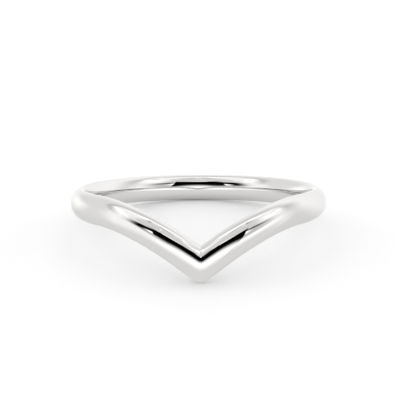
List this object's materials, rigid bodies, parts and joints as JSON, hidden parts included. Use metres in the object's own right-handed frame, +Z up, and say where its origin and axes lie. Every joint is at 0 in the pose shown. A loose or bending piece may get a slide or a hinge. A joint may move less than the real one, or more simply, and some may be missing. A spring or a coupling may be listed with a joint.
{
  "type": "chevron ring",
  "caption": "Plain polished finger ring, oval in section, whose front dips to a V; lies on its side on the point and the back of its band.",
  "frame": {"origin": "centre of the bottom of the box around the ring as it lies, on the surface it rests on", "axes": "+Z up; -Y to the front, where the V's point touches the surface; +X to the right seen from the front; the finger hole's axis leans back from +Z by the ring's lean"},
  "size_m": [0.0192, 0.0196, 0.0049],
  "materials": {
    "polished_white_gold": "mirror polished all over, with the finest wiping marks"
  },
  "bodies": {
    "root": {"chevron_band": "polished_white_gold"}
  },
  "joints": []
}
